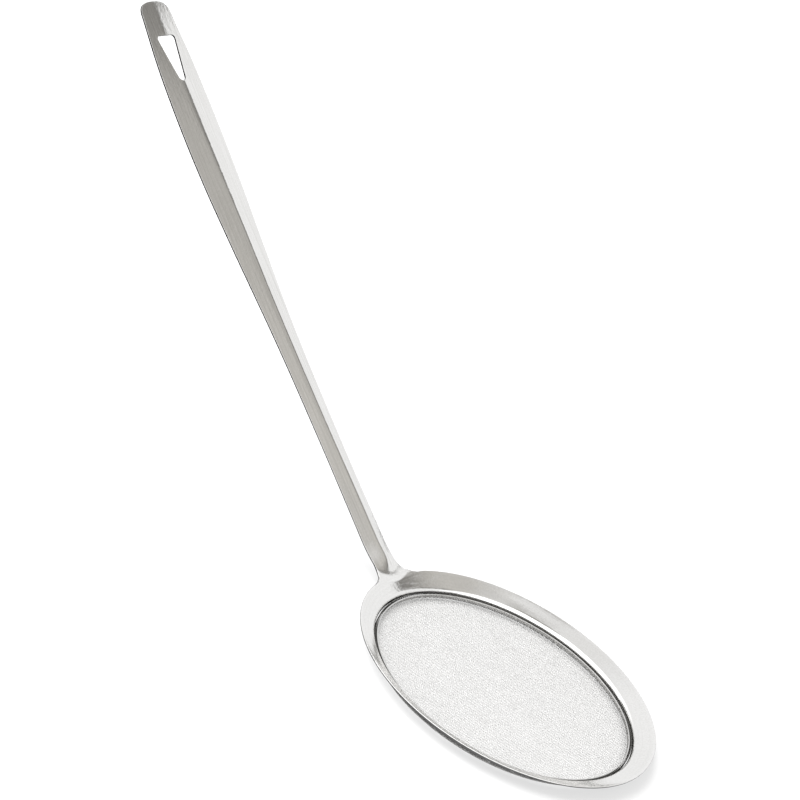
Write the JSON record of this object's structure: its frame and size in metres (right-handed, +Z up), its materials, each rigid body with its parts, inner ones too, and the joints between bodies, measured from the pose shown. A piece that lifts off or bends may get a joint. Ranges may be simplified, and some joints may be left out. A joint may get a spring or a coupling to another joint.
{
  "type": "mesh skimmer",
  "caption": "Long-handled fine-mesh skimmer: rim and handle pressed in one sheet, a shallow woven-wire pan, a retaining ring and a hanging hole.",
  "frame": {"origin": "centre of the flat underside of the mesh pan", "axes": "+Z up out of the bowl, square to its rim; the handle leaves the rim along -X and rises; +X points to the bowl's front edge"},
  "size_m": [0.3102, 0.1156, 0.1209],
  "materials": {
    "polished_steel": "satin-polished stainless sheet",
    "woven_steel": "fine woven stainless wire",
    "ring_steel": "polished stainless strip"
  },
  "bodies": {
    "root": {"frame": "polished_steel", "mesh_pan": "woven_steel", "retaining_ring": "ring_steel"}
  },
  "joints": []
}
